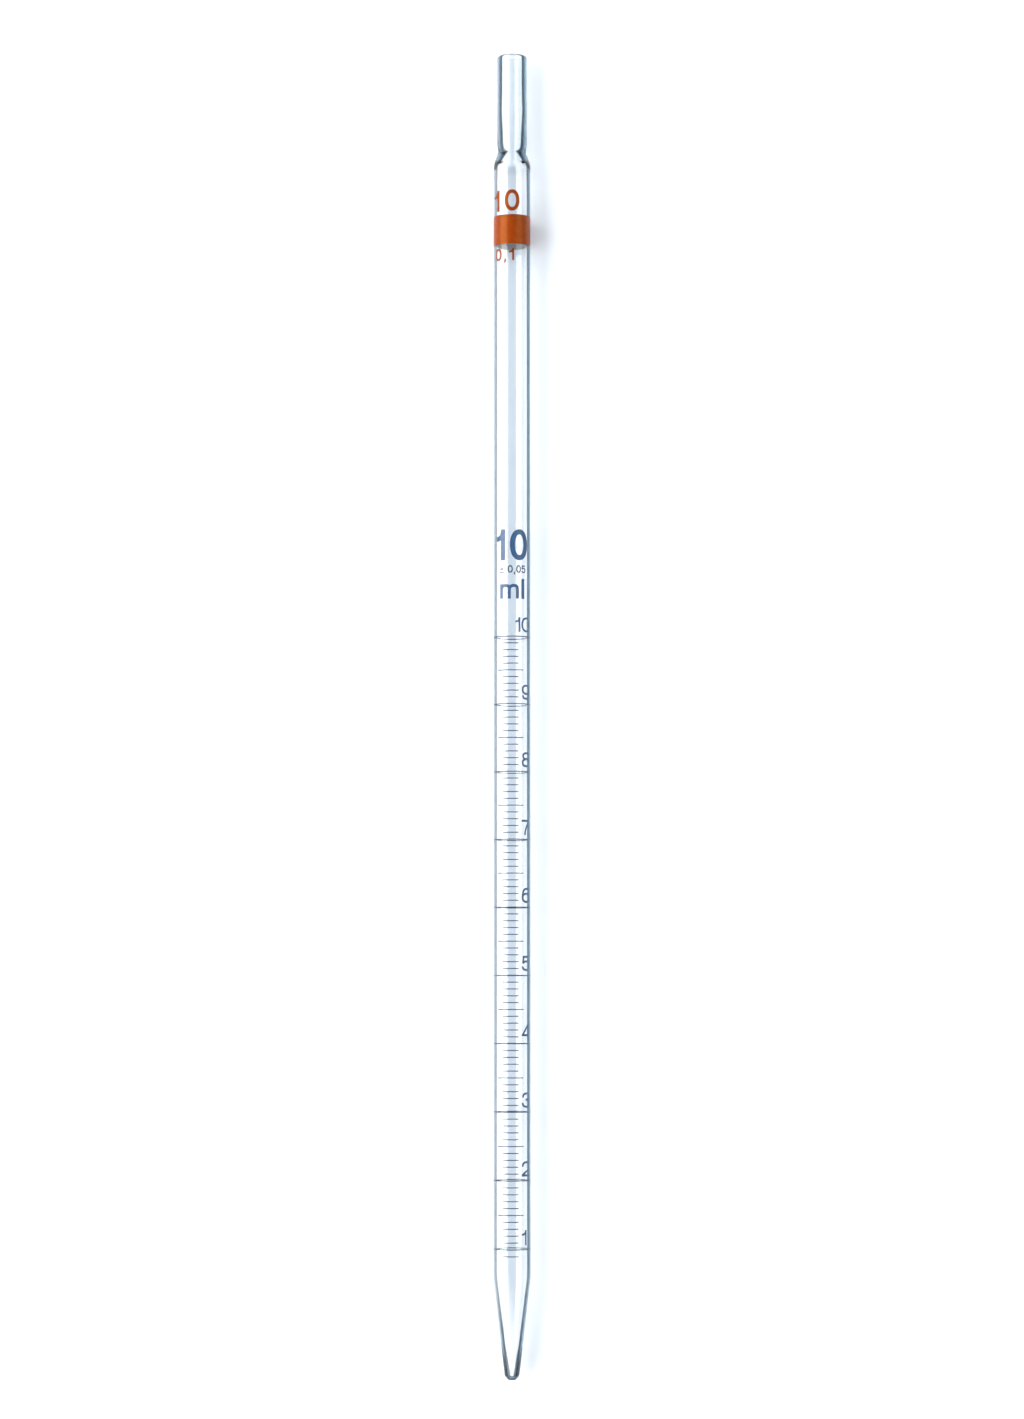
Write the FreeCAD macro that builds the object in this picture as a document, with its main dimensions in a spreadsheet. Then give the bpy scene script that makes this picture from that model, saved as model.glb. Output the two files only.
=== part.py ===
import FreeCAD, Part
import math
import os
import re
import Sketcher

# A 10 ml graduated glass pipette with 0.1 ml divisions: one glass tube, drawn down to a
# conical delivery tip at one end and pinched to a waist below a narrower mouthpiece at
# the other.  The scale and the colour code are thin enamel fired onto the barrel.
#
# It lies as it comes to rest.  The tube runs along Y, the tip points to -Y, the scale looks
# up to +Z, and the enamel rings round the barrel touch the plane Z = 0.  Every height below
# is measured along the tube from the face of the tip, and every radius from its axis.

# Lengths are in millimetres, angles in degrees and volumes in cubic millimetres.
SIZES = {
    "overall_length": 360.0,
    # barrel
    "barrel_diameter": 10.05,
    "barrel_wall": 0.855,
    # delivery tip, outside
    "cone_length": 27.2,
    "cone_end_diameter": 3.7,
    "cone_blend": 30.0,
    "tip_face_diameter": 2.0,
    "tip_bevel_length": 1.1,
    # delivery tip, inside
    "orifice_diameter": 1.0,
    "orifice_length": 1.7,
    "tip_bore_diameter": 2.1,
    "tip_bore_shoulder": 1.2,
    "tip_bore_blend": 0.8,
    # waist between the barrel and the mouthpiece, outside
    "shoulder_length": 3.7,
    "shoulder_blend": 5.0,
    "waist_depth": 0.26,
    "waist_blend": 2.5,
    "neck_length": 2.2,
    "neck_blend": 4.0,
    # waist, inside
    "dome_length": 4.2,
    "dome_blend": 4.0,
    "throat_diameter": 4.0,
    "throat_length": 0.7,
    "throat_blend": 1.8,
    "funnel_length": 3.2,
    "funnel_diameter": 5.2,
    "funnel_blend": 6.0,
    "swell_depth": 0.2,
    "swell_rise": 4.6,
    # mouthpiece
    "mouthpiece_length": 24.4,
    "mouthpiece_diameter": 8.2,
    "mouthpiece_wall": 1.42,
    "plug_bore_length": 11.5,
    "rim_rounding": 0.65,
    # scale
    "unit_volume": 1000.0,
    "ring_count": 10,
    "line_width": 0.26,
    "half_mark_angle": 85.0,
    "tick_angle": 50.7,
    "mark_turn": -4.5,
    # colour code
    "band_width": 8.1,
    "band_to_rim": 48.9,
    # enamel
    "enamel_thickness": 0.02,
}


def prefixed(text):
    """The formula with the name of the sheet before each size."""
    return re.sub(r"[a-z_]+", lambda word: "Sizes." + word[0] if word[0] in SIZES else word[0], text)


def frustum(end_one, end_two, length):
    """Formula for the volume of a round taper between two diameters."""
    return f"pi / 12 * {length} * ({end_one}^2 + {end_one} * {end_two} + {end_two}^2)"


def fitted_blend(blend, room, wide_end, narrow_end, length):
    """Formula for a blend between a straight and the slope that leads to it.

    The blend gets smaller where its arc would take up more than its room on the straight.
    """
    slope = f"(({wide_end} - {narrow_end}) / 2 / {length})"
    reach = f"((sqrt(1 + {slope}^2) - 1) / {slope})"
    return f"min({blend}; {room} / {reach})"


# Formulas that several features share.
BARREL_RADIUS = "barrel_diameter / 2"
ENAMEL_RADIUS = "(barrel_diameter / 2 + enamel_thickness)"
BARREL_BORE = "(barrel_diameter - 2 * barrel_wall)"
MOUTH_RADIUS = "mouthpiece_diameter / 2"
MOUTH_BORE_RADIUS = "(mouthpiece_diameter / 2 - mouthpiece_wall)"
WAIST_HEIGHT = "(overall_length - mouthpiece_length - neck_length)"
CONE_BORE_START = "(orifice_length + tip_bore_shoulder)"
CONE_BORE_LENGTH = f"(cone_length - {CONE_BORE_START})"
THROAT_TOP = f"({WAIST_HEIGHT} + throat_length / 2)"
THROAT_FOOT = f"({WAIST_HEIGHT} - throat_length / 2)"

# The blends at both ends of the throat share its straight, and the steeper dome has more of it.
THROAT_FOOT_BLEND = fitted_blend(
    "throat_blend", "0.66 * throat_length", BARREL_BORE, "throat_diameter", "dome_length")
THROAT_TOP_BLEND = fitted_blend(
    "throat_blend", "0.32 * throat_length", "funnel_diameter", "throat_diameter", "funnel_length")

# What the tip holds below the barrel, and the section of the barrel's bore, place the scale.
TIP_VOLUME = " + ".join((
    frustum("orifice_diameter", "orifice_diameter", "orifice_length"),
    frustum("orifice_diameter", "tip_bore_diameter", "tip_bore_shoulder"),
    frustum("tip_bore_diameter", BARREL_BORE, CONE_BORE_LENGTH),
))
BORE_AREA = f"(pi / 4 * {BARREL_BORE}^2)"
UNIT_SPACING = f"(unit_volume / {BORE_AREA})"


def scale_height(units):
    """Formula for the height of the mark that stands for this many units of volume."""
    return f"cone_length + ({units} * unit_volume - ({TIP_VOLUME})) / {BORE_AREA}"


def make_sheet(document):
    sheet = document.addObject("Spreadsheet::Sheet", "Sizes")
    for row, (name, value) in enumerate(SIZES.items(), 1):
        sheet.set(f"A{row}", name)
        sheet.set(f"B{row}", str(value))
        sheet.setAlias(f"B{row}", name)
    document.recompute()
    return sheet


def value_of(text):
    """The number that a formula gives with the sizes in the sheet."""
    return float(SHEET.evalExpression(prefixed(text)))


def make_body(name, turn=None):
    """A body on the tube's axis, with its own origin at the face of the tip."""
    body = DOCUMENT.addObject("PartDesign::Body", name)
    body.Label = name
    body.AllowCompound = True
    if turn:
        along_tube = FreeCAD.Vector(0, 1, 0)
        body.Placement = FreeCAD.Placement(FreeCAD.Vector(), FreeCAD.Rotation(along_tube, value_of(turn)))
        body.setExpression("Placement.Rotation.Angle", prefixed(turn))
    body.setExpression("Placement.Base.y", prefixed("-overall_length / 2"))
    body.setExpression("Placement.Base.z", prefixed(ENAMEL_RADIUS))
    return body


def make_sketch(body, name, plane_role):
    sketch = body.newObject("Sketcher::SketchObject", name)
    plane = next(item for item in body.Origin.OriginFeatures if item.Role == plane_role)
    sketch.AttachmentSupport = [(plane, "")]
    sketch.MapMode = "FlatFace"
    return sketch


def rounding_arc(before, corner, after, radius):
    """Where an arc that rounds a corner starts and ends, the arc itself and its direction."""
    back = (before - corner).normalize()
    ahead = (after - corner).normalize()
    half_angle = back.getAngle(ahead) / 2
    reach = radius / math.tan(half_angle)
    start = corner + back * reach
    end = corner + ahead * reach
    centre = corner + (back + ahead).normalize() * (radius / math.sin(half_angle))
    turns_left = back.cross(ahead).z < 0
    angles = [math.atan2(place.y - centre.y, place.x - centre.x) for place in (start, end)]
    if not turns_left:
        angles.reverse()
    circle = Part.Circle(centre, FreeCAD.Vector(0, 0, 1), radius)
    return start, end, Part.ArcOfCircle(circle, *angles), turns_left


def dimension(sketch, geometry, name, across, along):
    """Place the first point of a geometry by two formulas, bound to the sheet."""
    for kind, formula, axis in (("DistanceX", across, -2), ("DistanceY", along, -1)):
        if formula == "0":
            sketch.addConstraint(Sketcher.Constraint("PointOnObject", geometry, 1, axis))
            continue
        bind_constraint(sketch, f"{name}_{kind[-1].lower()}", formula, kind, -1, 1, geometry, 1)


def bind_constraint(sketch, name, formula, *place):
    """Add a named dimension whose value follows a formula."""
    number = sketch.addConstraint(Sketcher.Constraint(*place, value_of(formula)))
    sketch.renameConstraint(number, name)
    sketch.setExpression(f"Constraints.{name}", prefixed(formula))


def draw_outline(sketch, corners):
    """A closed outline through named corners, each placed by two formulas.

    A coordinate of "0" puts the corner on the sketch's axis.  A corner with a third formula
    is rounded to that radius: an arc touches both of its lines, which meet beyond the arc.
    """
    places = [FreeCAD.Vector(value_of(corner[1]), value_of(corner[2]), 0) for corner in corners]
    starts = list(places)
    ends = places[1:] + places[:1]
    arcs = {}
    for number, corner in enumerate(corners):
        if len(corner) > 3:
            before = places[number - 1]
            after = places[(number + 1) % len(places)]
            start, end, arc, turns_left = rounding_arc(before, places[number], after, value_of(corner[3]))
            ends[number - 1] = start
            starts[number] = end
            arcs[number] = (arc, turns_left)
    for start, end in zip(starts, ends):
        sketch.addGeometry(Part.LineSegment(start, end))

    for line, (name, across, along, *rounding) in enumerate(corners):
        before = (line - 1) % len(corners)
        if not rounding:
            sketch.addConstraint(Sketcher.Constraint("Coincident", before, 2, line, 1))
            dimension(sketch, line, name, across, along)
            continue
        geometry, turns_left = arcs[line]
        first, last = (1, 2) if turns_left else (2, 1)
        arc = sketch.addGeometry(geometry)
        meeting = sketch.addGeometry(Part.Point(places[line]))
        dimension(sketch, meeting, name, across, along)
        sketch.addConstraint(Sketcher.Constraint("PointOnObject", meeting, 1, before))
        sketch.addConstraint(Sketcher.Constraint("PointOnObject", meeting, 1, line))
        sketch.addConstraint(Sketcher.Constraint("Tangent", before, 2, arc, first))
        sketch.addConstraint(Sketcher.Constraint("Tangent", arc, last, line, 1))
        bind_constraint(sketch, f"{name}_radius", rounding[0], "Radius", arc)


def edge_at(feature, radius, height):
    """Name of the round edge with this radius at this height."""
    for number, edge in enumerate(feature.Shape.Edges, 1):
        if not isinstance(edge.Curve, Part.Circle):
            continue
        miss = abs(edge.Curve.Radius - value_of(radius)) + abs(edge.Curve.Center.y - value_of(height))
        if miss < 1e-4:
            return f"Edge{number}"
    raise ValueError(f"{feature.Name} has no edge of radius {radius} at {height}")


def round_edges(body, feature, name, radius, places):
    """Round the edges at these places of a feature, and return the new feature."""
    fillet = body.newObject("PartDesign::Fillet", name)
    fillet.Base = (feature, [edge_at(feature, *place) for place in places])
    fillet.setExpression("Radius", prefixed(radius))
    DOCUMENT.recompute()
    return fillet


def turn_outline(body, kind, name, outline):
    """Turn an outline about the tube's axis, as a solid or as a cut."""
    feature = body.newObject(f"PartDesign::{kind}", name)
    feature.Profile = outline
    feature.ReferenceAxis = (outline, ["V_Axis"])
    feature.Angle = 360
    DOCUMENT.recompute()
    return feature


def make_glass_tube():
    body = make_body("glass_tube")
    bevel_radius = (f"(cone_end_diameter / 2 + tip_bevel_length * ({BARREL_RADIUS}"
                    " - cone_end_diameter / 2) / cone_length)")
    rim = (MOUTH_RADIUS, "overall_length")
    rim_bore = (MOUTH_BORE_RADIUS, "overall_length")
    funnel_top = f"({THROAT_TOP} + funnel_length)"

    outside = make_sketch(body, "tube_outside", "XY_Plane")
    draw_outline(outside, (
        ("tip_centre", "0", "0"),
        ("tip_face", "tip_face_diameter / 2", "0"),
        ("tip_bevel", bevel_radius, "tip_bevel_length"),
        ("barrel_foot", BARREL_RADIUS, "cone_length", "cone_blend"),
        ("barrel_top", BARREL_RADIUS, f"{WAIST_HEIGHT} - shoulder_length", "shoulder_blend"),
        ("waist", f"{MOUTH_RADIUS} - waist_depth", WAIST_HEIGHT, "waist_blend"),
        ("mouth_foot", MOUTH_RADIUS, "overall_length - mouthpiece_length", "neck_blend"),
        ("rim", *rim),
        ("rim_centre", "0", "overall_length"),
    ))
    tube = turn_outline(body, "Revolution", "drawn_tube", outside)
    solid_volume = tube.Shape.Volume

    inside = make_sketch(body, "tube_inside", "XY_Plane")
    draw_outline(inside, (
        ("orifice_centre", "0", "0"),
        ("orifice_mouth", "orifice_diameter / 2", "0"),
        ("orifice", "orifice_diameter / 2", "orifice_length", "tip_bore_blend"),
        ("cone_bore", "tip_bore_diameter / 2", CONE_BORE_START, "tip_bore_blend"),
        ("bore_foot", f"{BARREL_BORE} / 2", "cone_length", "cone_blend"),
        ("bore_top", f"{BARREL_BORE} / 2", f"{THROAT_FOOT} - dome_length", "dome_blend"),
        ("throat_foot", "throat_diameter / 2", THROAT_FOOT, THROAT_FOOT_BLEND),
        ("throat_top", "throat_diameter / 2", THROAT_TOP, THROAT_TOP_BLEND),
        ("funnel", "funnel_diameter / 2", funnel_top, "funnel_blend"),
        ("swell", f"{MOUTH_BORE_RADIUS} + swell_depth", f"{funnel_top} + swell_rise"),
        ("plug_bore", MOUTH_BORE_RADIUS, "overall_length - plug_bore_length"),
        ("rim_bore", *rim_bore),
        ("bore_centre", "0", "overall_length"),
    ))
    tube = turn_outline(body, "Groove", "bore", inside)
    barrel_length = f"({WAIST_HEIGHT} - shoulder_length - cone_length)"
    if tube.Shape.Volume > solid_volume - value_of(f"{BORE_AREA} * {barrel_length}"):
        raise ValueError("the bore was not cut out of the tube")

    body.Tip = round_edges(body, tube, "fire_polished_rim", "rim_rounding", [rim, rim_bore])
    return body


def print_mark(body, name, height, width, angle):
    """An enamel mark: a flat bar that follows the barrel round through an angle."""
    sketch = make_sketch(body, f"{name}_section", "YZ_Plane")
    foot = f"{height} - {width} / 2"
    top = f"{height} + {width} / 2"
    draw_outline(sketch, (
        ("inner_foot", foot, BARREL_RADIUS),
        ("inner_top", top, BARREL_RADIUS),
        ("outer_top", top, ENAMEL_RADIUS),
        ("outer_foot", foot, ENAMEL_RADIUS),
    ))
    mark = body.newObject("PartDesign::Revolution", name)
    mark.Profile = sketch
    mark.ReferenceAxis = (sketch, ["H_Axis"])
    mark.Midplane = True
    mark.Angle = value_of(angle)
    mark.setExpression("Angle", prefixed(angle))
    DOCUMENT.recompute()
    return sketch, mark


def spaced(body, name, sketch, spacing, count):
    """Repeat along the tube, for use alone or inside a group of repeats."""
    pattern = body.newObject("PartDesign::LinearPattern", name)
    pattern.Direction = (sketch, ["H_Axis"])
    pattern.Mode = "Spacing"
    pattern.setExpression("Offset", prefixed(spacing))
    pattern.setExpression("Occurrences", prefixed(count))
    return pattern


def make_ring_marks():
    body = make_body("ring_marks")
    sketch, ring = print_mark(body, "first_ring", scale_height(1), "line_width", "360")
    pattern = spaced(body, "every_ring", sketch, UNIT_SPACING, "ring_count")
    pattern.Originals = [ring]
    body.Tip = pattern
    return body


def make_half_marks():
    body = make_body("half_marks", turn="mark_turn")
    sketch, mark = print_mark(body, "first_half_mark", scale_height(1.5), "line_width", "half_mark_angle")
    pattern = spaced(body, "every_half_mark", sketch, UNIT_SPACING, "ring_count - 1")
    pattern.Originals = [mark]
    body.Tip = pattern
    return body


def make_tick_marks():
    """Four ticks in each half unit above the first ring, and one just below that ring."""
    body = make_body("tick_marks", turn="mark_turn")
    print_mark(body, "lowest_tick", scale_height(0.9), "line_width", "tick_angle")
    sketch, mark = print_mark(body, "first_tick", scale_height(1.1), "line_width", "tick_angle")
    pattern = body.newObject("PartDesign::MultiTransform", "every_tick")
    pattern.Originals = [mark]
    pattern.Transformations = [
        spaced(body, "ticks_of_half_unit", sketch, f"{UNIT_SPACING} / 10", "4"),
        spaced(body, "halves_of_unit", sketch, f"{UNIT_SPACING} / 2", "2"),
        spaced(body, "units_of_scale", sketch, UNIT_SPACING, "ring_count - 1"),
    ]
    body.Tip = pattern
    return body


def make_colour_band():
    body = make_body("colour_band")
    band = print_mark(body, "band", "overall_length - band_to_rim", "band_width", "360")[1]
    body.Tip = band
    return body


def check_document(bodies):
    for item in DOCUMENT.Objects:
        if "Invalid" in item.State or "Error" in item.State:
            raise ValueError(f"{item.Name} did not build: {item.State}")
    for body in bodies:
        if body.Shape.isNull() or not body.Shape.isValid():
            raise ValueError(f"{body.Label} has no valid shape")


DOCUMENT = FreeCAD.newDocument("pipette")
SHEET = make_sheet(DOCUMENT)
BODIES = [
    make_glass_tube(),
    make_ring_marks(),
    make_half_marks(),
    make_tick_marks(),
    make_colour_band(),
]
DOCUMENT.recompute()
check_document(BODIES)

os.makedirs("parts", exist_ok=True)
for part_body in BODIES:
    part_body.Shape.exportStep(f"parts/{part_body.Label}.step")
    shape = part_body.Shape
    print(part_body.Label, len(shape.Solids), "solids", round(shape.Volume, 3), "mm3", shape.BoundBox)
print("first ring", round(value_of(scale_height(1)), 3), "spacing", round(value_of(UNIT_SPACING), 3))
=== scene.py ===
import math

import bpy
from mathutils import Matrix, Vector


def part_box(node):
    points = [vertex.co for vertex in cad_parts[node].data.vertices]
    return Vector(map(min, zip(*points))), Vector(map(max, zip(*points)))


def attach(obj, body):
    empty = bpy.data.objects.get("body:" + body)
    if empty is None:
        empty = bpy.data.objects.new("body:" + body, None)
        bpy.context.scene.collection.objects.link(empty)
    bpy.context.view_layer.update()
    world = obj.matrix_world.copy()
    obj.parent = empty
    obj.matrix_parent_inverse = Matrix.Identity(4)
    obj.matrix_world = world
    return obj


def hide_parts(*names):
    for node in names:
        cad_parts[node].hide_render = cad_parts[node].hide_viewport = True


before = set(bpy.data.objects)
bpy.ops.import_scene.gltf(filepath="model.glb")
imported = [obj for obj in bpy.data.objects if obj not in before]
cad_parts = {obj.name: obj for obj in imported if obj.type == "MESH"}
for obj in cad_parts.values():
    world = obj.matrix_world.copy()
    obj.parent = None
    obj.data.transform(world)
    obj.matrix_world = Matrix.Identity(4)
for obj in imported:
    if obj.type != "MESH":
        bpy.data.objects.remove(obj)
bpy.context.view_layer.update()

# Lengths are in millimetres and angles in degrees until a mesh is made. Heights are above the
# tip's face, and angles round the tube are from straight up.
MM = 0.001

# The outside of the tube.
LENGTH = 360.0
BARREL_RADIUS = 5.025
CONE_LENGTH = 27.2
TIP_FACE_RADIUS = 1.0
TIP_BEVEL = 1.1
TIP_BEVEL_SPREAD = 0.889
SHOULDER_START = 329.7
WAIST_HEIGHT = 333.4
WAIST_RADIUS = 3.84
NECK_END = 335.6
MOUTH_RADIUS = 4.1
RIM_ROUNDING = 0.65

# The bore, from the mouth down to the tip.
MOUTH_BORE = 2.68
PLUG_BORE_LENGTH = 11.5
BELLY_BORE = 2.88
BELLY_HEIGHT = 341.55
FUNNEL_BORE = 2.6
FUNNEL_TOP = 336.95
THROAT_BORE = 2.0
THROAT_TOP = 333.75
THROAT_FOOT = 333.05
THROAT_ROUNDING = 1.8
DOME_START = 328.85
BARREL_BORE = 4.17
CONE_ROUNDING = 30.0
TIP_BORE_RADIUS = 1.05
TIP_BORE_START = 2.9
ORIFICE_RADIUS = 0.5
ORIFICE_LENGTH = 1.7

# The printed scale and band.
RING_STEP = 18.305
FIRST_RING = 34.785
RING_COUNT = 10
LINE_WIDTH = 0.26
HALF_MARK_SPAN = (-47.0, 38.0)
TICK_SPAN = (-29.85, 20.85)
BAND_WIDTH = 8.1
BAND_TO_RIM = 48.9
PRINT_PROUD = 0.02
PRINT_SUNK = 0.006
RING_WAVE = 0.012
MARK_WAVE = 0.010

# The printed signs: where each line of them stands, and how tall and thick it is.
DIGIT_GAP = 1.15
DIGIT_TALL = 4.1
DIGIT_STROKE = 0.56
DIGIT_SPAN = (31.5, 67.0)
DIGIT_ONE_SPAN = (31.5, 50.5)
VOLUME_FOOT = 220.2
VOLUME_TALL = 8.46
TOLERANCE_FOOT = 216.75
TOLERANCE_TALL = 2.1
TOLERANCE_STROKE = 0.34
COMMA_STROKE = 0.32
TOLERANCE_RIM = 0.06
UNIT_FOOT = 209.75
COLOUR_FOOT = 316.1
STEP_FOOT = 302.45
STEP_TALL = 3.4
STEP_STROKE = 0.52
SIGN_RIM = 0.09

# How finely the round shapes are divided.
TURNS = 240
ARC_STEP = 6.0
RUN_STEP = 9.0
STROKE_PART = 0.3

# The painted edge shade starts this share of the radius before the bore's own edge.
EARLY_EDGE = 0.03

# The studio, in metres. Only CAMERA_FOOT is a height along the tube, so in millimetres.
FLOOR_HALF = 3.0
SOFTBOX_LENGTH = 1.9
CAMERA_HEIGHT = 1.05
CAMERA_FOOT = 99
CAMERA_LENS = 98.0

TUBE_LOW, TUBE_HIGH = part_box("glass_tube")
AXIS_X = (TUBE_LOW.x + TUBE_HIGH.x) / 2
AXIS_Z = (TUBE_LOW.z + TUBE_HIGH.z) / 2
TIP_Y = TUBE_LOW.y


# ---------------------------------------------------------------- shapes


def on_tube(radius, angle, height):
    """A point at a radius, an angle from straight up and a height above the tip face."""
    x = AXIS_X + radius * math.sin(angle) * MM
    z = AXIS_Z + radius * math.cos(angle) * MM
    return Vector((x, TIP_Y + height * MM, z))


def corner_arc(before, corner, after, radius):
    """Points and outward normals of the arc that rounds one corner of a profile."""
    a = (before - corner).normalized()
    b = (after - corner).normalized()
    half = math.acos(max(-1.0, min(1.0, a.dot(b)))) / 2
    reach = radius / math.tan(half)
    centre = corner + (a + b).normalized() * (radius / math.sin(half))
    start = corner + a * reach - centre
    end = corner + b * reach - centre
    sweep = start.angle_signed(end)
    steps = max(2, math.ceil(abs(math.degrees(sweep)) / ARC_STEP))
    points = []
    for i in range(steps + 1):
        turn = -sweep * i / steps
        c = math.cos(turn)
        s = math.sin(turn)
        spoke = Vector((start.x * c - start.y * s, start.x * s + start.y * c))
        points.append((centre + spoke, spoke.normalized()))
    return points


def rounded_profile(corners):
    """A closed profile of (radius, height, rounding) corners as points with normals.

    The corners go round the section with the glass on their left."""
    places = [Vector((r, h)) for r, h, _ in corners]
    profile = []
    for i, (_, _, rounding) in enumerate(corners):
        before = places[i - 1]
        after = places[(i + 1) % len(places)]
        arc = corner_arc(before, places[i], after, rounding)
        into = places[i] - before
        out = after - places[i]
        turns_left = into.x * out.y - into.y * out.x > 0
        for point, spoke in arc:
            profile.append((point, spoke if turns_left else -spoke))
    return split_runs(profile)


def split_runs(profile):
    """Adds points along the straight runs, so that no face is much longer than wide."""
    whole = []
    for i, (point, normal) in enumerate(profile):
        after, after_normal = profile[(i + 1) % len(profile)]
        steps = max(1, math.ceil((after - point).length / RUN_STEP))
        for k in range(steps):
            t = k / steps
            whole.append((point.lerp(after, t), normal.lerp(after_normal, t)))
    return whole


def add_object(name, mesh):
    """Puts a mesh into the scene as an object of the same name."""
    piece = bpy.data.objects.new(name, mesh)
    bpy.context.scene.collection.objects.link(piece)
    return piece


def bore_radius(inside, height):
    """The bore's radius at a height, read along the profile's inner run.

    Past either end of that run it is the end's own radius."""
    for (above, _), (below, _) in zip(inside, inside[1:]):
        if below.y <= height <= above.y and above.y > below.y:
            t = (height - below.y) / (above.y - below.y)
            return below.x + (above.x - below.x) * t
    return inside[-1][0].x if height < LENGTH / 2 else inside[0][0].x


def bore_shares(profile):
    """How much of the tube's radius is bore, for each point outside; 1 on the bore."""
    top = max(range(len(profile)), key=lambda i: profile[i][0].y)
    inside = profile[top:]
    shares = []
    for i, (point, _) in enumerate(profile):
        share = bore_radius(inside, point.y) / point.x - EARLY_EDGE if i < top else 1.0
        shares.append(min(1.0, share))
    return shares


def skin(rows, count, closed):
    """Faces between rows of points that each go once round a section of count points."""
    faces = []
    for i in range(rows if closed else rows - 1):
        here = i * count
        there = (i + 1) % rows * count
        for k in range(count):
            m = (k + 1) % count
            faces.append((here + k, there + k, there + m, here + m))
    return faces


def revolve(name, profile):
    """A closed profile turned once round the tube's axis, with exact normals."""
    vertices = []
    normals = []
    for i in range(TURNS):
        angle = 2 * math.pi * i / TURNS
        for point, normal in profile:
            vertices.append(on_tube(point.x, angle, point.y))
            side = normal.x
            normals.append((side * math.sin(angle), normal.y, side * math.cos(angle)))
    mesh = bpy.data.meshes.new(name)
    mesh.from_pydata(vertices, [], skin(TURNS, len(profile), True))
    mesh.shade_smooth()
    mesh.normals_split_custom_set_from_vertices(normals)
    attribute = mesh.attributes.new("bore_share", "FLOAT", "POINT")
    attribute.data.foreach_set("value", bore_shares(profile) * TURNS)
    return add_object(name, mesh)


def outer_corners():
    """The tube's outside as (radius, height, rounding), from the tip up to the rim."""
    return [
        (TIP_FACE_RADIUS, 0.0, 0.22),
        (TIP_FACE_RADIUS + TIP_BEVEL * TIP_BEVEL_SPREAD, TIP_BEVEL, 0.35),
        (BARREL_RADIUS, CONE_LENGTH, CONE_ROUNDING),
        (BARREL_RADIUS, SHOULDER_START, 5.0),
        (WAIST_RADIUS, WAIST_HEIGHT, 2.5),
        (MOUTH_RADIUS, NECK_END, 4.0),
        (MOUTH_RADIUS, LENGTH, RIM_ROUNDING),
    ]


def bore_corners():
    """The bore in the same form, from the rim down through the throat to the orifice."""
    return [
        (MOUTH_BORE, LENGTH, RIM_ROUNDING),
        (MOUTH_BORE, LENGTH - PLUG_BORE_LENGTH, 20.0),
        (BELLY_BORE, BELLY_HEIGHT, 12.0),
        (FUNNEL_BORE, FUNNEL_TOP, 6.0),
        (THROAT_BORE, THROAT_TOP, THROAT_ROUNDING),
        (THROAT_BORE, THROAT_FOOT, THROAT_ROUNDING),
        (BARREL_BORE, DOME_START, 4.0),
        (BARREL_BORE, CONE_LENGTH, CONE_ROUNDING),
        (TIP_BORE_RADIUS, TIP_BORE_START, 0.8),
        (ORIFICE_RADIUS, ORIFICE_LENGTH, 0.5),
        (ORIFICE_RADIUS, 0.0, 0.12),
    ]


def ink_section(width):
    """A printed line's section with soft edges, as (height from its middle, radius)."""
    inner = BARREL_RADIUS - PRINT_SUNK
    outer = BARREL_RADIUS + PRINT_PROUD
    half = width / 2
    edge = PRINT_PROUD * 0.8
    return [
        (-half, inner),
        (-half, outer - edge * 0.7),
        (-half + edge * 0.4, outer - edge * 0.15),
        (-half + edge, outer),
        (half - edge, outer),
        (half - edge * 0.4, outer - edge * 0.15),
        (half, outer - edge * 0.7),
        (half, inner),
    ]


def ragged(angle, seed):
    """The small unevenness of a screen-printed edge, from -1 to 1."""
    a = math.sin(angle * 23 + seed * 1.7)
    b = math.sin(angle * 61 + seed * 4.1)
    c = math.sin(angle * 149 + seed * 2.3)
    return (a + b + c) / 3


class Sheet:
    """Points and faces of one printed piece, gathered before its mesh is made.

    Faces marked as rim get the piece's second ink. Where the print follows the tube, its
    normals are the tube's own."""

    def __init__(self):
        self.vertices = []
        self.normals = []
        self.faces = []
        self.rims = []

    def add(self, vertices, faces, rim=False, follows_tube=False):
        """Adds points, and faces that count from the first of them."""
        start = len(self.vertices)
        self.vertices.extend(vertices)
        for place in vertices:
            spoke = Vector((place.x - AXIS_X, 0, place.z - AXIS_Z)).normalized()
            self.normals.append(spoke if follows_tube else Vector((0, 0, 0)))
        self.faces.extend(tuple(start + i for i in face) for face in faces)
        self.rims.extend([rim] * len(faces))

    def piece(self, name):
        """Makes the object. A normal of zero leaves a point its usual smooth or sharp one."""
        mesh = bpy.data.meshes.new(name)
        mesh.from_pydata(self.vertices, [], self.faces)
        mesh.shade_smooth()
        mesh.set_sharp_from_angle(angle=math.radians(40))
        mesh.normals_split_custom_set_from_vertices(self.normals)
        for polygon, rim in zip(mesh.polygons, self.rims):
            polygon.material_index = 1 if rim else 0
        return add_object(name, mesh)


def add_row(vertices, height, width, angle, seed, wave):
    """One row of a printed line's points, its two edges a little uneven."""
    section = ink_section(width)
    for k, (along, radius) in enumerate(section):
        uneven = wave * ragged(angle, seed + (5 if k < len(section) / 2 else 0))
        vertices.append(on_tube(radius, angle, height + along + uneven))


def add_ring(sheet, height, width, seed):
    """A printed line that goes all the way round."""
    vertices = []
    for i in range(TURNS):
        add_row(vertices, height, width, 2 * math.pi * i / TURNS, seed, RING_WAVE)
    sheet.add(vertices, skin(TURNS, len(ink_section(width)), True))


def arc_stations(start, end, round_off):
    """The angles at which an arc gets a row of points, closer together at its round ends."""
    steps = max(12, math.ceil((end - start) / math.radians(2)))
    stations = [start + (end - start) * i / steps for i in range(steps + 1)]
    for share in (0.15, 0.45, 0.8):
        stations.append(start + round_off * share)
        stations.append(end - round_off * share)
    return sorted(set(stations))


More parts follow.
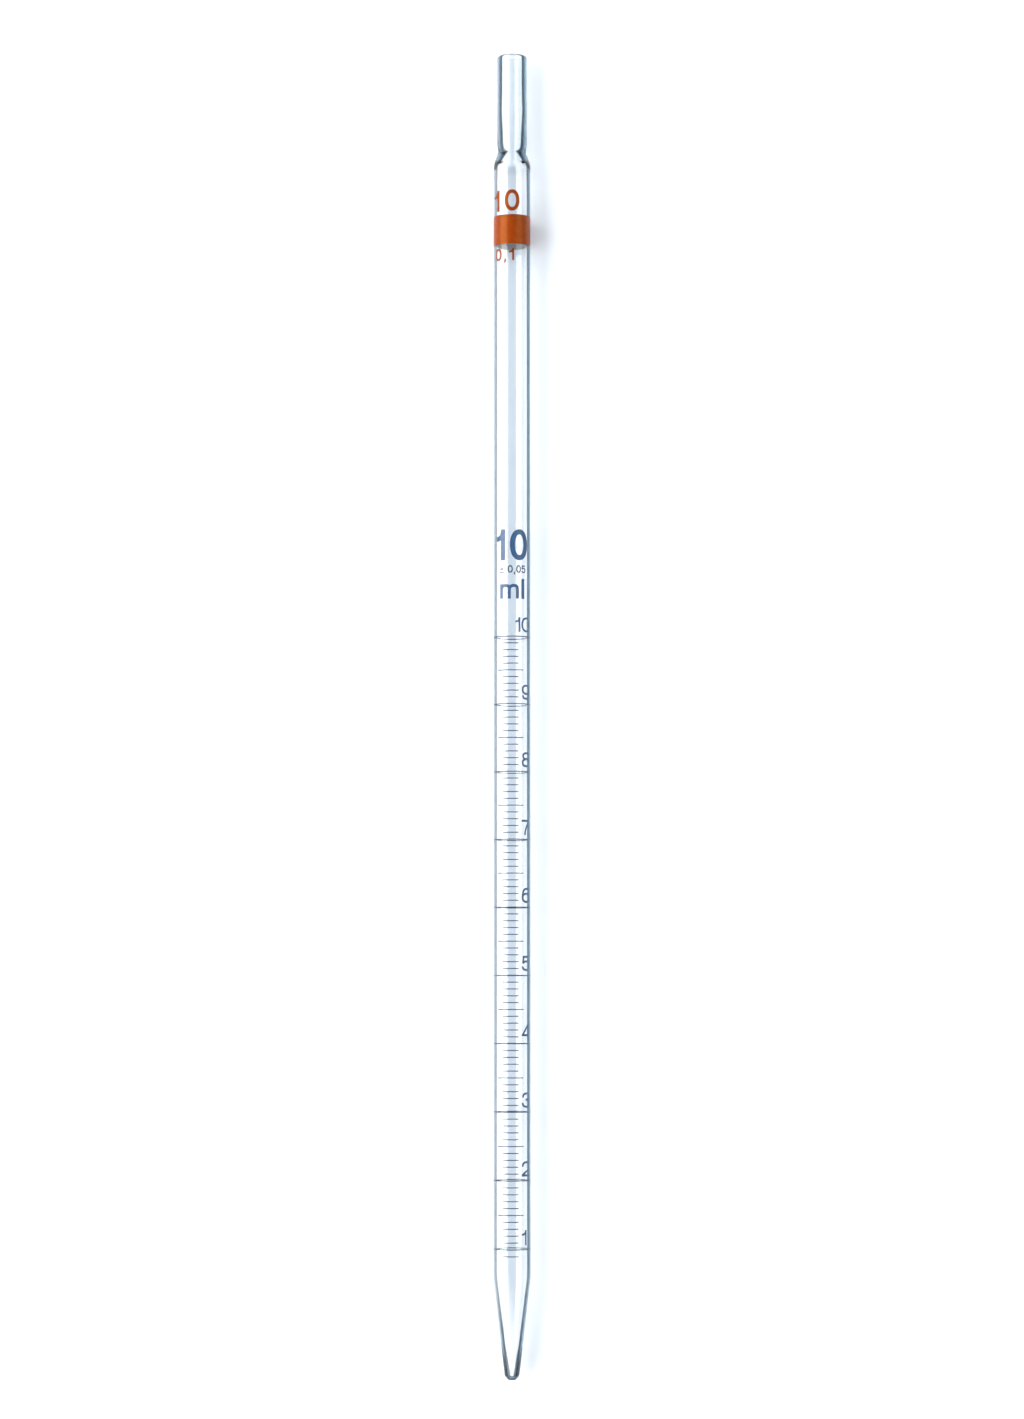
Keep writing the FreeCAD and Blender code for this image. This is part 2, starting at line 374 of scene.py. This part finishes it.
def add_arc(sheet, height, width, span, seed):
    """A printed line over part of the tube's front, with rounded ends."""
    start, end = (math.radians(a) for a in span)
    round_off = width / 2 / BARREL_RADIUS
    stations = arc_stations(start, end, round_off)
    vertices = []
    for angle in stations:
        inset = min(angle - start, end - angle) / round_off
        narrow = 1.0 if inset >= 1 else math.sqrt(max(0.06, 1 - (1 - inset) ** 2))
        add_row(vertices, height, width * narrow, angle, seed, MARK_WAVE)
    count = len(ink_section(width))
    faces = skin(len(stations), count, False)
    last = (len(stations) - 1) * count
    faces.append(tuple(range(count)))
    faces.append(tuple(last + k for k in reversed(range(count))))
    sheet.add(vertices, faces)


# ---------------------------------------------------------------- numerals


def bezier(start, first, second, end, steps=10):
    """Points along a cubic curve, without its start."""
    points = []
    for i in range(1, steps + 1):
        t = i / steps
        u = 1 - t
        x = u**3 * start[0] + 3 * u * u * t * first[0] + 3 * u * t * t * second[0] + t**3 * end[0]
        y = u**3 * start[1] + 3 * u * u * t * first[1] + 3 * u * t * t * second[1] + t**3 * end[1]
        points.append((x, y))
    return points


def trace(path):
    """A path of points, and of curves given as two handles and an end, as points."""
    points = [path[0]]
    for step in path[1:]:
        if isinstance(step[0], tuple):
            points.extend(bezier(points[-1], *step))
        else:
            points.append(step)
    return points


def bowl(u, v, wide, tall):
    """A closed, slightly square round stroke about a middle point."""
    kx = wide * 0.60
    ky = tall * 0.60
    left = (u - wide, v)
    right = (u + wide, v)
    top = (u, v + tall)
    foot = (u, v - tall)
    return [
        foot,
        ((u + kx, v - tall), (u + wide, v - ky), right),
        ((u + wide, v + ky), (u + kx, v + tall), top),
        ((u - kx, v + tall), (u - wide, v + ky), left),
        ((u - wide, v - ky), (u - kx, v - tall), foot),
    ]


# Each sign's strokes are middle lines in a box from 0 to 1 each way. ex and ey are half a stroke
# in that box, so -ex and 1 + ex are the print's own edges. All these functions take both, so
# that one table holds them.


def zero(ex, ey):
    return [bowl(0.5, 0.5, 0.5, 0.5)]


def one(ex, ey):
    flag = [(-ex, 0.72), ((0.5, 0.73), (0.9, 0.80), (0.95, 0.97))]
    return [[(1, -ey), (1, 1 + ey)], flag]


def two(ex, ey):
    top = [(0, 0.66), ((0, 0.88), (0.18, 1), (0.5, 1)), ((0.82, 1), (1, 0.88), (1, 0.72))]
    fall = [((1, 0.52), (0.82, 0.42), (0.5, 0.29)), ((0.18, 0.16), (0.05, 0.1), (0.02, 0))]
    return [top + fall, [(-ex, 0), (1 + ex, 0)]]


def three(ex, ey):
    top = [(0.04, 0.70), ((0.04, 0.9), (0.2, 1), (0.5, 1)), ((0.8, 1), (0.95, 0.9), (0.95, 0.77))]
    middle = [((0.95, 0.60), (0.8, 0.535), (0.4, 0.535))]
    low = [(0.4, 0.535), ((0.82, 0.535), (1, 0.44), (1, 0.27)), ((1, 0.1), (0.82, 0), (0.5, 0))]
    return [top + middle, low + [((0.18, 0), (0, 0.1), (0, 0.31))]]


def four(ex, ey):
    stem = [(0.76, -ey), (0.76, 1 + ey * 0.6)]
    bar = [(-ex, 0.24), (1 + ex, 0.24)]
    return [stem, [(0.74, 1), (0, 0.26)], bar]


def five(ex, ey):
    top = [(1, 1), (0.14, 1), (0.06, 0.50)]
    belly = [(0.06, 0.50), ((0.2, 0.62), (0.34, 0.655), (0.5, 0.655))]
    belly += [((0.82, 0.655), (1, 0.54), (1, 0.33))]
    return [top, belly + [((1, 0.12), (0.82, 0), (0.5, 0)), ((0.18, 0), (0, 0.1), (0, 0.27))]]


def six(ex, ey):
    back = [(0.96, 0.74), ((0.95, 0.92), (0.8, 1), (0.54, 1)), ((0.14, 1), (0, 0.74), (0, 0.40))]
    return [bowl(0.5, 0.315, 0.5, 0.315), back + [(0, 0.31)]]


def seven(ex, ey):
    return [[(-ex, 1), (1, 1)], [(0.98, 1.0), ((0.7, 0.74), (0.36, 0.4), (0.30, -ey))]]


def eight(ex, ey):
    return [bowl(0.5, 0.77, 0.43, 0.23), bowl(0.5, 0.27, 0.5, 0.27)]


def nine(ex, ey):
    return [turned(stroke) for stroke in six(ex, ey)]


def comma(ex, ey):
    return [[(1, 0.09), (1, -0.03), ((1, -0.16), (0.8, -0.24), (0.1, -0.31))]]


def plus_or_minus(ex, ey):
    return [[(0.5, 0.32), (0.5, 1)], [(0, 0.66), (1, 0.66)], [(0, 0), (1, 0)]]


def arch(left, ey):
    """One arch of an m, half as wide as its box."""
    rise = ((left + 0.02, 0.9), (left + 0.12, 1), (left + 0.27, 1))
    fall = ((left + 0.43, 1), (left + 0.5, 0.9), (left + 0.5, 0.7))
    return [(left, 0.66), rise, fall, (left + 0.5, -ey)]


def letter_m(ex, ey):
    return [[(0, -ey), (0, 1 + ey)], arch(0, ey), arch(0.5, ey)]


def letter_l(ex, ey):
    return [[(0.5, -ey), (0.5, 1 + ey)]]


GLYPHS = {
    "0": zero,
    "1": one,
    "2": two,
    "3": three,
    "4": four,
    "5": five,
    "6": six,
    "7": seven,
    "8": eight,
    "9": nine,
    ",": comma,
    "+": plus_or_minus,
    "m": letter_m,
    "l": letter_l,
}


def turned(path):
    """The same path after half a turn about the middle of its box."""
    steps = []
    for step in path:
        if isinstance(step[0], tuple):
            steps.append(tuple((1 - u, 1 - v) for u, v in step))
        else:
            steps.append((1 - step[0], 1 - step[1]))
    return steps


def glyph_lines(sign, left, foot, wide, tall, stroke):
    """Middle lines of one sign whose ink fills the given box."""
    ex = stroke / 2 / max(0.01, wide - stroke)
    ey = stroke / 2 / (tall - stroke)
    lines = []
    for path in GLYPHS[sign](ex, ey):
        points = []
        for u, v in trace(path):
            x = left + stroke / 2 + u * (wide - stroke)
            y = foot + stroke / 2 + v * (tall - stroke)
            points.append(Vector((x, y)))
        lines.append(even_steps(points, STROKE_PART))
    return lines


def even_steps(points, step):
    """The same line with its long runs divided."""
    line = [points[0]]
    for end in points[1:]:
        start = line[-1]
        parts = max(1, math.ceil((end - start).length / step))
        for i in range(1, parts + 1):
            line.append(start.lerp(end, i / parts))
    return line


def shortened(line, trim):
    """An open line cut back a little at both ends; a closed one stays."""
    if (line[0] - line[-1]).length < 1e-6:
        return line
    start = line[0] + (line[1] - line[0]).normalized() * trim
    end = line[-1] + (line[-2] - line[-1]).normalized() * trim
    return [start] + line[1:-1] + [end]


def stroke_sides(line, thick):
    """Where a stroke's two edges run, mitred at its corners but never to a long spike."""
    closed = (line[0] - line[-1]).length < 1e-6
    sides = []
    for i, point in enumerate(line):
        before = line[i - 1] if i else (line[-2] if closed else point)
        after = line[i + 1] if i + 1 < len(line) else (line[1] if closed else point)
        along = (after - before).normalized()
        into = (point - before).normalized() if point != before else along
        bend = max(0.6, abs(along.dot(into)))
        across = Vector((-along.y, along.x)) * (thick / 2 / bend)
        sides.append((point + across, point - across))
    return sides


def on_print(spot, radius):
    """Wraps a flat spot, millimetres round and up, on to the tube."""
    return on_tube(radius, spot.x / BARREL_RADIUS, spot.y)


def lay_stroke(sheet, line, thick, outer, rim):
    """Lays one stroke of ink round the tube, with walls down into the glass."""
    sides = stroke_sides(line, thick)
    parts = max(2, math.ceil(thick / STROKE_PART))
    width = parts + 1
    spots = []
    for left, right in sides:
        spots += [left.lerp(right, k / parts) for k in range(width)]
    faces = []
    for i in range(len(sides) - 1):
        for k in range(parts):
            here = i * width + k
            faces.append((here, here + 1, here + width + 1, here + width))
    sheet.add([on_print(spot, outer) for spot in spots], faces, rim, True)
    last = (len(sides) - 1) * width
    edge = list(range(width)) + [i * width + parts for i in range(1, len(sides))]
    edge += [last + k for k in reversed(range(parts))]
    edge += [i * width for i in reversed(range(1, len(sides) - 1))]
    upper = [on_print(spots[i], outer) for i in edge]
    lower = [on_print(spots[i], BARREL_RADIUS - PRINT_SUNK) for i in edge]
    count = len(edge)
    walls = [(i, i + count, (i + 1) % count + count, (i + 1) % count) for i in range(count)]
    sheet.add(upper + lower, walls, True)


def add_sign(sheet, sign, angles, foot, tall, stroke, rim=SIGN_RIM):
    """Prints one sign between two angles, its foot at a height above the tip face.

    A thin skin of ink fills the whole outline, and the thicker ink stays inside its rim."""
    left = math.radians(angles[0]) * BARREL_RADIUS
    wide = math.radians(angles[1]) * BARREL_RADIUS - left
    for line in glyph_lines(sign, left, foot, wide, tall, stroke):
        lay_stroke(sheet, line, stroke, BARREL_RADIUS + PRINT_PROUD * 0.7, True)
        core = shortened(line, rim)
        lay_stroke(sheet, core, stroke - 2 * rim, BARREL_RADIUS + PRINT_PROUD, False)


# ---------------------------------------------------------------- materials

# Most of a noise lies between these values.
NOISE_RANGE = (0.3, 0.7)

# The painted lightening of the key light's side grows from the first to the second of these bore
# shares, so it lies mostly on the barrel.
LIT_SIDE_REACH = (0.70, 0.78)

# Painted dark shade in the glass's edges, from where a look first misses the bore, 0, to the tube's
# limb, 1.
# The shader lets the square root of its colour through each time light goes in or out, so deep
# tints are tiny.
CLEAR_GLASS = (0.92, 0.935, 0.955)
PAINTED_EDGE_SHADE = [
    (0.0, CLEAR_GLASS),
    (0.05, (0.30, 0.35, 0.40)),
    (0.15, (0.001, 0.004, 0.008)),
    (0.40, (0.0, 0.004, 0.010)),
    (0.55, (0.004, 0.040, 0.073)),
    (0.70, (0.10, 0.19, 0.28)),
    (1.0, (0.25, 0.33, 0.44)),
]

AMBER = (1.0, 0.50, 0.16)


def new_material(name):
    """A material with its nodes, its links and its shader."""
    material = bpy.data.materials.new(name)
    material.use_nodes = True
    nodes = material.node_tree.nodes
    shader = nodes["Principled BSDF"]
    return material, nodes, material.node_tree.links, shader


def noise(nodes, links, scale, detail, stretch=(1, 1, 1)):
    """A noise over the piece's own coordinates, with so many cells to the metre."""
    place = nodes.new("ShaderNodeTexCoord")
    spread = nodes.new("ShaderNodeMapping")
    spread.inputs["Scale"].default_value = stretch
    texture = nodes.new("ShaderNodeTexNoise")
    texture.inputs["Scale"].default_value = scale
    texture.inputs["Detail"].default_value = detail
    texture.inputs["Roughness"].default_value = 0.55
    links.new(place.outputs["Object"], spread.inputs["Vector"])
    links.new(spread.outputs["Vector"], texture.inputs["Vector"])
    return texture.outputs["Fac"]


def ramp(nodes, links, value, stops):
    """A colour ramp with (place, colour) stops."""
    made = nodes.new("ShaderNodeValToRGB")
    points = made.color_ramp.elements
    points[0].position = stops[0][0]
    points[0].color = (*stops[0][1], 1)
    points[1].position = stops[-1][0]
    points[1].color = (*stops[-1][1], 1)
    for place, colour in stops[1:-1]:
        points.new(place).color = (*colour, 1)
    links.new(value, made.inputs["Fac"])
    return made.outputs["Color"]


def bring(nodes, links, value, source, target):
    """A value brought from one pair of limits to another."""
    made = nodes.new("ShaderNodeMapRange")
    made.inputs["From Min"].default_value = source[0]
    made.inputs["From Max"].default_value = source[1]
    made.inputs["To Min"].default_value = target[0]
    made.inputs["To Max"].default_value = target[1]
    links.new(value, made.inputs["Value"])
    return made.outputs["Result"]


def bump(nodes, links, shader, height, distance, strength):
    """Fine relief on a shader, from a height that runs from 0 to 1."""
    made = nodes.new("ShaderNodeBump")
    made.inputs["Distance"].default_value = distance
    made.inputs["Strength"].default_value = strength
    links.new(height, made.inputs["Height"])
    links.new(made.outputs["Normal"], shader.inputs["Normal"])


def calculate(nodes, links, operation, *values):
    """One sum over numbers and other nodes' values."""
    made = nodes.new("ShaderNodeMath")
    made.operation = operation
    for socket, value in zip(made.inputs, values):
        if isinstance(value, (int, float)):
            socket.default_value = value
        else:
            links.new(value, socket)
    return made.outputs[0]


def bore_share(nodes):
    """What bore_shares wrote into the glass: the part of the radius that is bore."""
    share = nodes.new("ShaderNodeAttribute")
    share.attribute_name = "bore_share"
    return share.outputs["Fac"]


def facing_square(nodes, links, direction=None):
    """The squared cosine between a look and the surface's normal, or another direction."""
    layer = nodes.new("ShaderNodeLayerWeight")
    layer.inputs["Blend"].default_value = 0.5
    if direction:
        links.new(direction, layer.inputs["Normal"])
    cosine = calculate(nodes, links, "SUBTRACT", 1.0, layer.outputs["Facing"])
    return calculate(nodes, links, "MULTIPLY", cosine, cosine)


def tube_axis(nodes):
    """The tube's own axis, wherever the piece is turned."""
    axis = nodes.new("ShaderNodeVectorTransform")
    axis.vector_type = "VECTOR"
    axis.convert_from = "OBJECT"
    axis.convert_to = "WORLD"
    axis.inputs["Vector"].default_value = (0.0, 1.0, 0.0)
    return axis.outputs["Vector"]


def edge_depth(nodes, links):
    """0 where a slanting look first misses the bore and stays in the wall, 1 at the limb: where the
    painted edge shade lies.

    Only the part of the look across the tube counts, as it does in real tubing."""
    share = bore_share(nodes)
    along = facing_square(nodes, links, tube_axis(nodes))
    across = calculate(nodes, links, "SUBTRACT", 1.0001, along)
    square = calculate(nodes, links, "DIVIDE", facing_square(nodes, links), across)
    rest = calculate(nodes, links, "SUBTRACT", 1.0, calculate(nodes, links, "MINIMUM", square, 1.0))
    slant = calculate(nodes, links, "SQRT", rest)
    past = calculate(nodes, links, "SUBTRACT", slant, share)
    room = calculate(nodes, links, "SUBTRACT", 1.0001, share)
    return calculate(nodes, links, "DIVIDE", past, room)


def siding(nodes, links):
    """The painted edge shade's weight: full, with a little painted light taking some of it away on
    the side towards the key light, most of all on the barrel.
    """
    place = nodes.new("ShaderNodeTexCoord")
    split = nodes.new("ShaderNodeSeparateXYZ")
    links.new(place.outputs["Object"], split.inputs["Vector"])
    sides = (AXIS_X + BARREL_RADIUS * MM, AXIS_X - BARREL_RADIUS * MM)
    # Painted light: the side towards the key light gets less of the painted edge shade.
    lit_side = bring(nodes, links, split.outputs["X"], sides, (0.0, 1.0))
    barrel_lightening = bring(nodes, links, bore_share(nodes), LIT_SIDE_REACH, (0.01, 0.10))
    painted_light = calculate(nodes, links, "MULTIPLY", lit_side, barrel_lightening)
    return calculate(nodes, links, "SUBTRACT", 1.0, painted_light)


def glass_colour(nodes, links, shader):
    """Clear glass, with dark shade painted where a look goes into the wall and misses the bore, a
    little less of it on the key light's side.
    """
    blend = nodes.new("ShaderNodeMix")
    blend.data_type = "RGBA"
    blend.inputs["A"].default_value = (*CLEAR_GLASS, 1)
    links.new(siding(nodes, links), blend.inputs["Factor"])
    # The ramp paints dark shade into the glass's edges.
    links.new(ramp(nodes, links, edge_depth(nodes, links), PAINTED_EDGE_SHADE), blend.inputs["B"])
    links.new(blend.outputs["Result"], shader.inputs["Base Color"])


def glass_material():
    """Clear drawn glass: faint blue-green through its thickness, with dark shade painted in its
    edges.
    """
    material, nodes, links, shader = new_material("drawn_glass")
    glass_colour(nodes, links, shader)
    shader.inputs["Transmission Weight"].default_value = 1.0
    shader.inputs["IOR"].default_value = 1.515
    streaks = noise(nodes, links, 900, 3, (1, 0.003, 1))
    rough = bring(nodes, links, streaks, NOISE_RANGE, (0.0, 0.018))
    links.new(rough, shader.inputs["Roughness"])
    bump(nodes, links, shader, streaks, 0.00001, 0.05)
    depth = nodes.new("ShaderNodeVolumeAbsorption")
    depth.inputs["Color"].default_value = (0.30, 0.60, 0.74, 1)
    depth.inputs["Density"].default_value = 26.0
    links.new(depth.outputs["Volume"], nodes["Material Output"].inputs["Volume"])
    return material


def ink_material(name, dark, pale, grain, rough, coat=0.1, sheen=(1, 1, 1)):
    """Fired enamel: mottled between two colours, with a fine grain and a glossy skin."""
    material, nodes, links, shader = new_material(name)
    mottle = noise(nodes, links, 700, 4)
    colour = ramp(nodes, links, mottle, [(NOISE_RANGE[0], dark), (NOISE_RANGE[1], pale)])
    links.new(colour, shader.inputs["Base Color"])
    fine = noise(nodes, links, 5200, 2)
    links.new(bring(nodes, links, fine, NOISE_RANGE, rough), shader.inputs["Roughness"])
    shader.inputs["IOR"].default_value = 1.55
    shader.inputs["Coat Weight"].default_value = coat
    shader.inputs["Coat Roughness"].default_value = 0.12
    shader.inputs["Specular Tint"].default_value = (*sheen, 1)
    bump(nodes, links, shader, fine, 0.00003, grain)
    return material


def blue_inks():
    """The scale's inks: for its lines, for the larger signs, and for those signs' dark rim."""
    lines = ink_material(
        "navy_ink",
        dark=(0.010, 0.024, 0.066),
        pale=(0.020, 0.040, 0.100),
        grain=0.10,
        rough=(0.20, 0.34),
    )
    signs = ink_material(
        "steel_blue_ink",
        dark=(0.012, 0.060, 0.150),
        pale=(0.022, 0.082, 0.185),
        grain=0.12,
        rough=(0.24, 0.38),
    )
    rim = ink_material(
        "navy_ink_edge",
        dark=(0.012, 0.020, 0.065),
        pale=(0.022, 0.036, 0.090),
        grain=0.10,
        rough=(0.22, 0.34),
    )
    return lines, signs, rim


def orange_inks():
    """The colour code's inks: orange, its darker rim, and the pale coat under the band."""
    orange = ink_material(
        "orange_ink",
        dark=(0.20, 0.024, 0.001),
        pale=(0.27, 0.036, 0.001),
        grain=0.25,
        rough=(0.24, 0.36),
        coat=0.0,
        sheen=AMBER,
    )
    rim = ink_material(
        "orange_ink_edge",
        dark=(0.11, 0.012, 0.002),
        pale=(0.15, 0.018, 0.003),
        grain=0.2,
        rough=(0.3, 0.4),
        coat=0.0,
        sheen=AMBER,
    )
    under = ink_material(
        "pale_first_coat",
        dark=(0.72, 0.68, 0.64),
        pale=(0.80, 0.77, 0.74),
        grain=0.10,
        rough=(0.30, 0.45),
    )
    return orange, rim, under


def floor_material():
    """A matt, nearly white floor with very slow changes of tone."""
    material, nodes, links, shader = new_material("studio_floor")
    soft = noise(nodes, links, 3, 2)
    colour = ramp(nodes, links, soft, [(0.2, (0.88, 0.885, 0.89)), (0.8, (0.90, 0.90, 0.90))])
    links.new(colour, shader.inputs["Base Color"])
    shader.inputs["Roughness"].default_value = 1.0
    shader.inputs["Specular IOR Level"].default_value = 0.0
    return material


# ---------------------------------------------------------------- pieces


def finish_piece(piece, materials, node=None):
    """Gives a piece its materials and its body, and hides the CAD node it stands for."""
    for material in materials:
        piece.data.materials.append(material)
    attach(piece, "root")
    if node:
        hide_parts(node)


def make_glass():
    """The one tube of glass, outside and bore in one closed skin."""
    profile = rounded_profile(outer_corners() + bore_corners())
    piece = revolve("drawn_tube", profile)
    finish_piece(piece, [glass_material()], "glass_tube")


def ring_height(unit):
    """The height of the mark for a volume in millilitres."""
    return FIRST_RING + (unit - 1) * RING_STEP


def make_rings(inks):
    """The rings at the whole millilitres."""
    sheet = Sheet()
    for unit in range(1, RING_COUNT + 1):
        add_ring(sheet, ring_height(unit), LINE_WIDTH, unit)
    finish_piece(sheet.piece("ring_lines"), inks, "ring_marks")


def make_halves(inks):
    """The longer marks half way between the rings."""
    sheet = Sheet()
    for unit in range(1, RING_COUNT):
        height = ring_height(unit + 0.5)
        add_arc(sheet, height, LINE_WIDTH, HALF_MARK_SPAN, unit + 20)
    finish_piece(sheet.piece("half_lines"), inks, "half_marks")


def make_ticks(inks):
    """The short marks at the other tenths, and the one below the first ring."""
    sheet = Sheet()
    add_arc(sheet, ring_height(0.9), LINE_WIDTH, TICK_SPAN, 40)
    for unit in range(1, RING_COUNT):
        for tenth in (1, 2, 3, 4, 6, 7, 8, 9):
            height = ring_height(unit + tenth / 10)
            add_arc(sheet, height, LINE_WIDTH, TICK_SPAN, unit * 10 + tenth)
    finish_piece(sheet.piece("tick_lines"), inks, "tick_marks")


def make_band(inks):
    """The orange band; its second ink is the pale first coat, seen through the glass."""
    sheet = Sheet()
    add_ring(sheet, LENGTH - BAND_TO_RIM, BAND_WIDTH, 3)
    band = sheet.piece("colour_ring")
    sides = len(ink_section(BAND_WIDTH))
    for i in range(sides - 1, len(band.data.polygons), sides):
        band.data.polygons[i].material_index = 1
    finish_piece(band, inks, "colour_band")


def make_numerals(inks):
    """The scale's 1 to 10, each on its ring."""
    sheet = Sheet()
    for unit in range(1, RING_COUNT):
        foot = ring_height(unit) + DIGIT_GAP
        span = DIGIT_ONE_SPAN if unit == 1 else DIGIT_SPAN
        add_sign(sheet, str(unit), span, foot, DIGIT_TALL, DIGIT_STROKE)
    foot = ring_height(RING_COUNT) + DIGIT_GAP
    add_sign(sheet, "1", (10.5, 27.0), foot, DIGIT_TALL, DIGIT_STROKE)
    add_sign(sheet, "0", (30.0, 70.5), foot, DIGIT_TALL, DIGIT_STROKE)
    finish_piece(sheet.piece("scale_numerals"), inks)


def make_volume_print(inks):
    """The large 10 and the ml under it."""
    sheet = Sheet()
    add_sign(sheet, "1", (-55.0, -22.0), VOLUME_FOOT, VOLUME_TALL, 1.3)
    add_sign(sheet, "0", (-6.5, 53.5), VOLUME_FOOT, VOLUME_TALL, 1.4)
    add_sign(sheet, "m", (-39.0, 22.0), UNIT_FOOT, 3.98, 0.85)
    add_sign(sheet, "l", (30.5, 41.0), UNIT_FOOT, 5.44, 0.9)
    finish_piece(sheet.piece("volume_numerals"), inks)


def make_tolerance_print(inks):
    """The small plus or minus 0,05 between the 10 and the ml."""
    sheet = Sheet()
    add_sign(sheet, "+", (-42.0, -24.0), TOLERANCE_FOOT, 1.75, 0.24, 0.05)
    signs = [("0", (-13.5, 2.5)), (",", (4.3, 9.8)), ("0", (13.0, 28.5)), ("5", (30.0, 46.0))]
    for sign, angles in signs:
        stroke = COMMA_STROKE if sign == "," else TOLERANCE_STROKE
        add_sign(sheet, sign, angles, TOLERANCE_FOOT, TOLERANCE_TALL, stroke, TOLERANCE_RIM)
    finish_piece(sheet.piece("tolerance_numerals"), inks)


def make_colour_print(inks):
    """The orange 10 above the band and the 0,1 below it."""
    sheet = Sheet()
    add_sign(sheet, "1", (-70.0, -43.0), COLOUR_FOOT, 5.8, 0.9)
    add_sign(sheet, "0", (-23.5, 24.0), COLOUR_FOOT, 5.9, 1.0)
    add_sign(sheet, "0", (-60.0, -34.0), STEP_FOOT, STEP_TALL, STEP_STROKE)
    add_sign(sheet, ",", (-28.5, -19.0), STEP_FOOT, STEP_TALL, 0.50)
    add_sign(sheet, "1", (-10.0, 6.5), STEP_FOOT, STEP_TALL, STEP_STROKE)
    finish_piece(sheet.piece("colour_numerals"), inks)


def make_pipette():
    """All pieces, each with its inks."""
    lines, signs, rim = blue_inks()
    orange, orange_rim, under = orange_inks()
    make_glass()
    make_rings([lines])
    make_halves([lines])
    make_ticks([lines])
    make_band([orange, under])
    make_numerals([signs, rim])
    make_volume_print([signs, rim])
    make_tolerance_print([lines, rim])
    make_colour_print([orange, orange_rim])


# ---------------------------------------------------------------- studio


def make_floor():
    """A plain pale floor that the tube lies on."""
    half = FLOOR_HALF
    corners = [(-half, -half, 0), (half, -half, 0), (half, half, 0), (-half, half, 0)]
    mesh = bpy.data.meshes.new("studio_floor")
    mesh.from_pydata(corners, [], [(0, 1, 2, 3)])
    floor = add_object("studio_floor", mesh)
    floor.data.materials.append(floor_material())


def make_softbox(name, angle, distance, wide, brightness, colour):
    """A long softbox beside the pipette, its middle at an angle from straight up.

    Its brightness is its own radiance, and 1 would render as full white."""
    data = bpy.data.lights.new(name, "AREA")
    data.shape = "RECTANGLE"
    data.size = wide
    data.size_y = SOFTBOX_LENGTH
    data.energy = brightness * math.pi * wide * SOFTBOX_LENGTH
    data.color = colour
    light = bpy.data.objects.new(name, data)
    turn = math.radians(angle)
    light.location = (math.sin(turn) * distance, 0, math.cos(turn) * distance)
    light.rotation_euler = (0, turn, 0)
    light.visible_camera = False
    bpy.context.scene.collection.objects.link(light)


def make_world():
    """Pale bluish air, the soft light from all round."""
    world = bpy.data.worlds.new("studio_air")
    world.use_nodes = True
    air = world.node_tree.nodes["Background"]
    air.inputs["Color"].default_value = (0.78, 0.88, 1.0, 1)
    air.inputs["Strength"].default_value = 0.54
    bpy.context.scene.world = world


def make_camera():
    """Looks down on the tube's middle from above the lower part of its scale, with a long lens."""
    data = bpy.data.cameras.new("camera")
    data.sensor_width = 36.0
    camera = bpy.data.objects.new("camera", data)
    eye = Vector((AXIS_X, TIP_Y + CAMERA_FOOT * MM, CAMERA_HEIGHT))
    aim = Vector((AXIS_X, TIP_Y + LENGTH / 2 * MM, AXIS_Z))
    camera.location = eye
    camera.rotation_euler = (math.atan2(aim.y - eye.y, eye.z - aim.z), 0, 0)
    data.lens = CAMERA_LENS
    data.clip_start = 0.05
    data.clip_end = 20
    bpy.context.scene.collection.objects.link(camera)
    bpy.context.scene.camera = camera


def make_studio():
    """Floor, lights, air and camera, and enough bounces for light inside the glass."""
    make_floor()
    make_softbox("key_light", -54, 1.0, wide=0.85, brightness=4.6, colour=(1.0, 0.98, 0.94))
    make_softbox("fill_light", 48, 1.2, wide=0.90, brightness=1.6, colour=(0.93, 0.97, 1.0))
    make_world()
    make_camera()
    scene = bpy.context.scene
    scene.view_settings.view_transform = "Standard"
    scene.cycles.max_bounces = 24
    scene.cycles.transmission_bounces = 24
    scene.cycles.blur_glossy = 0.0


make_pipette()
make_studio()
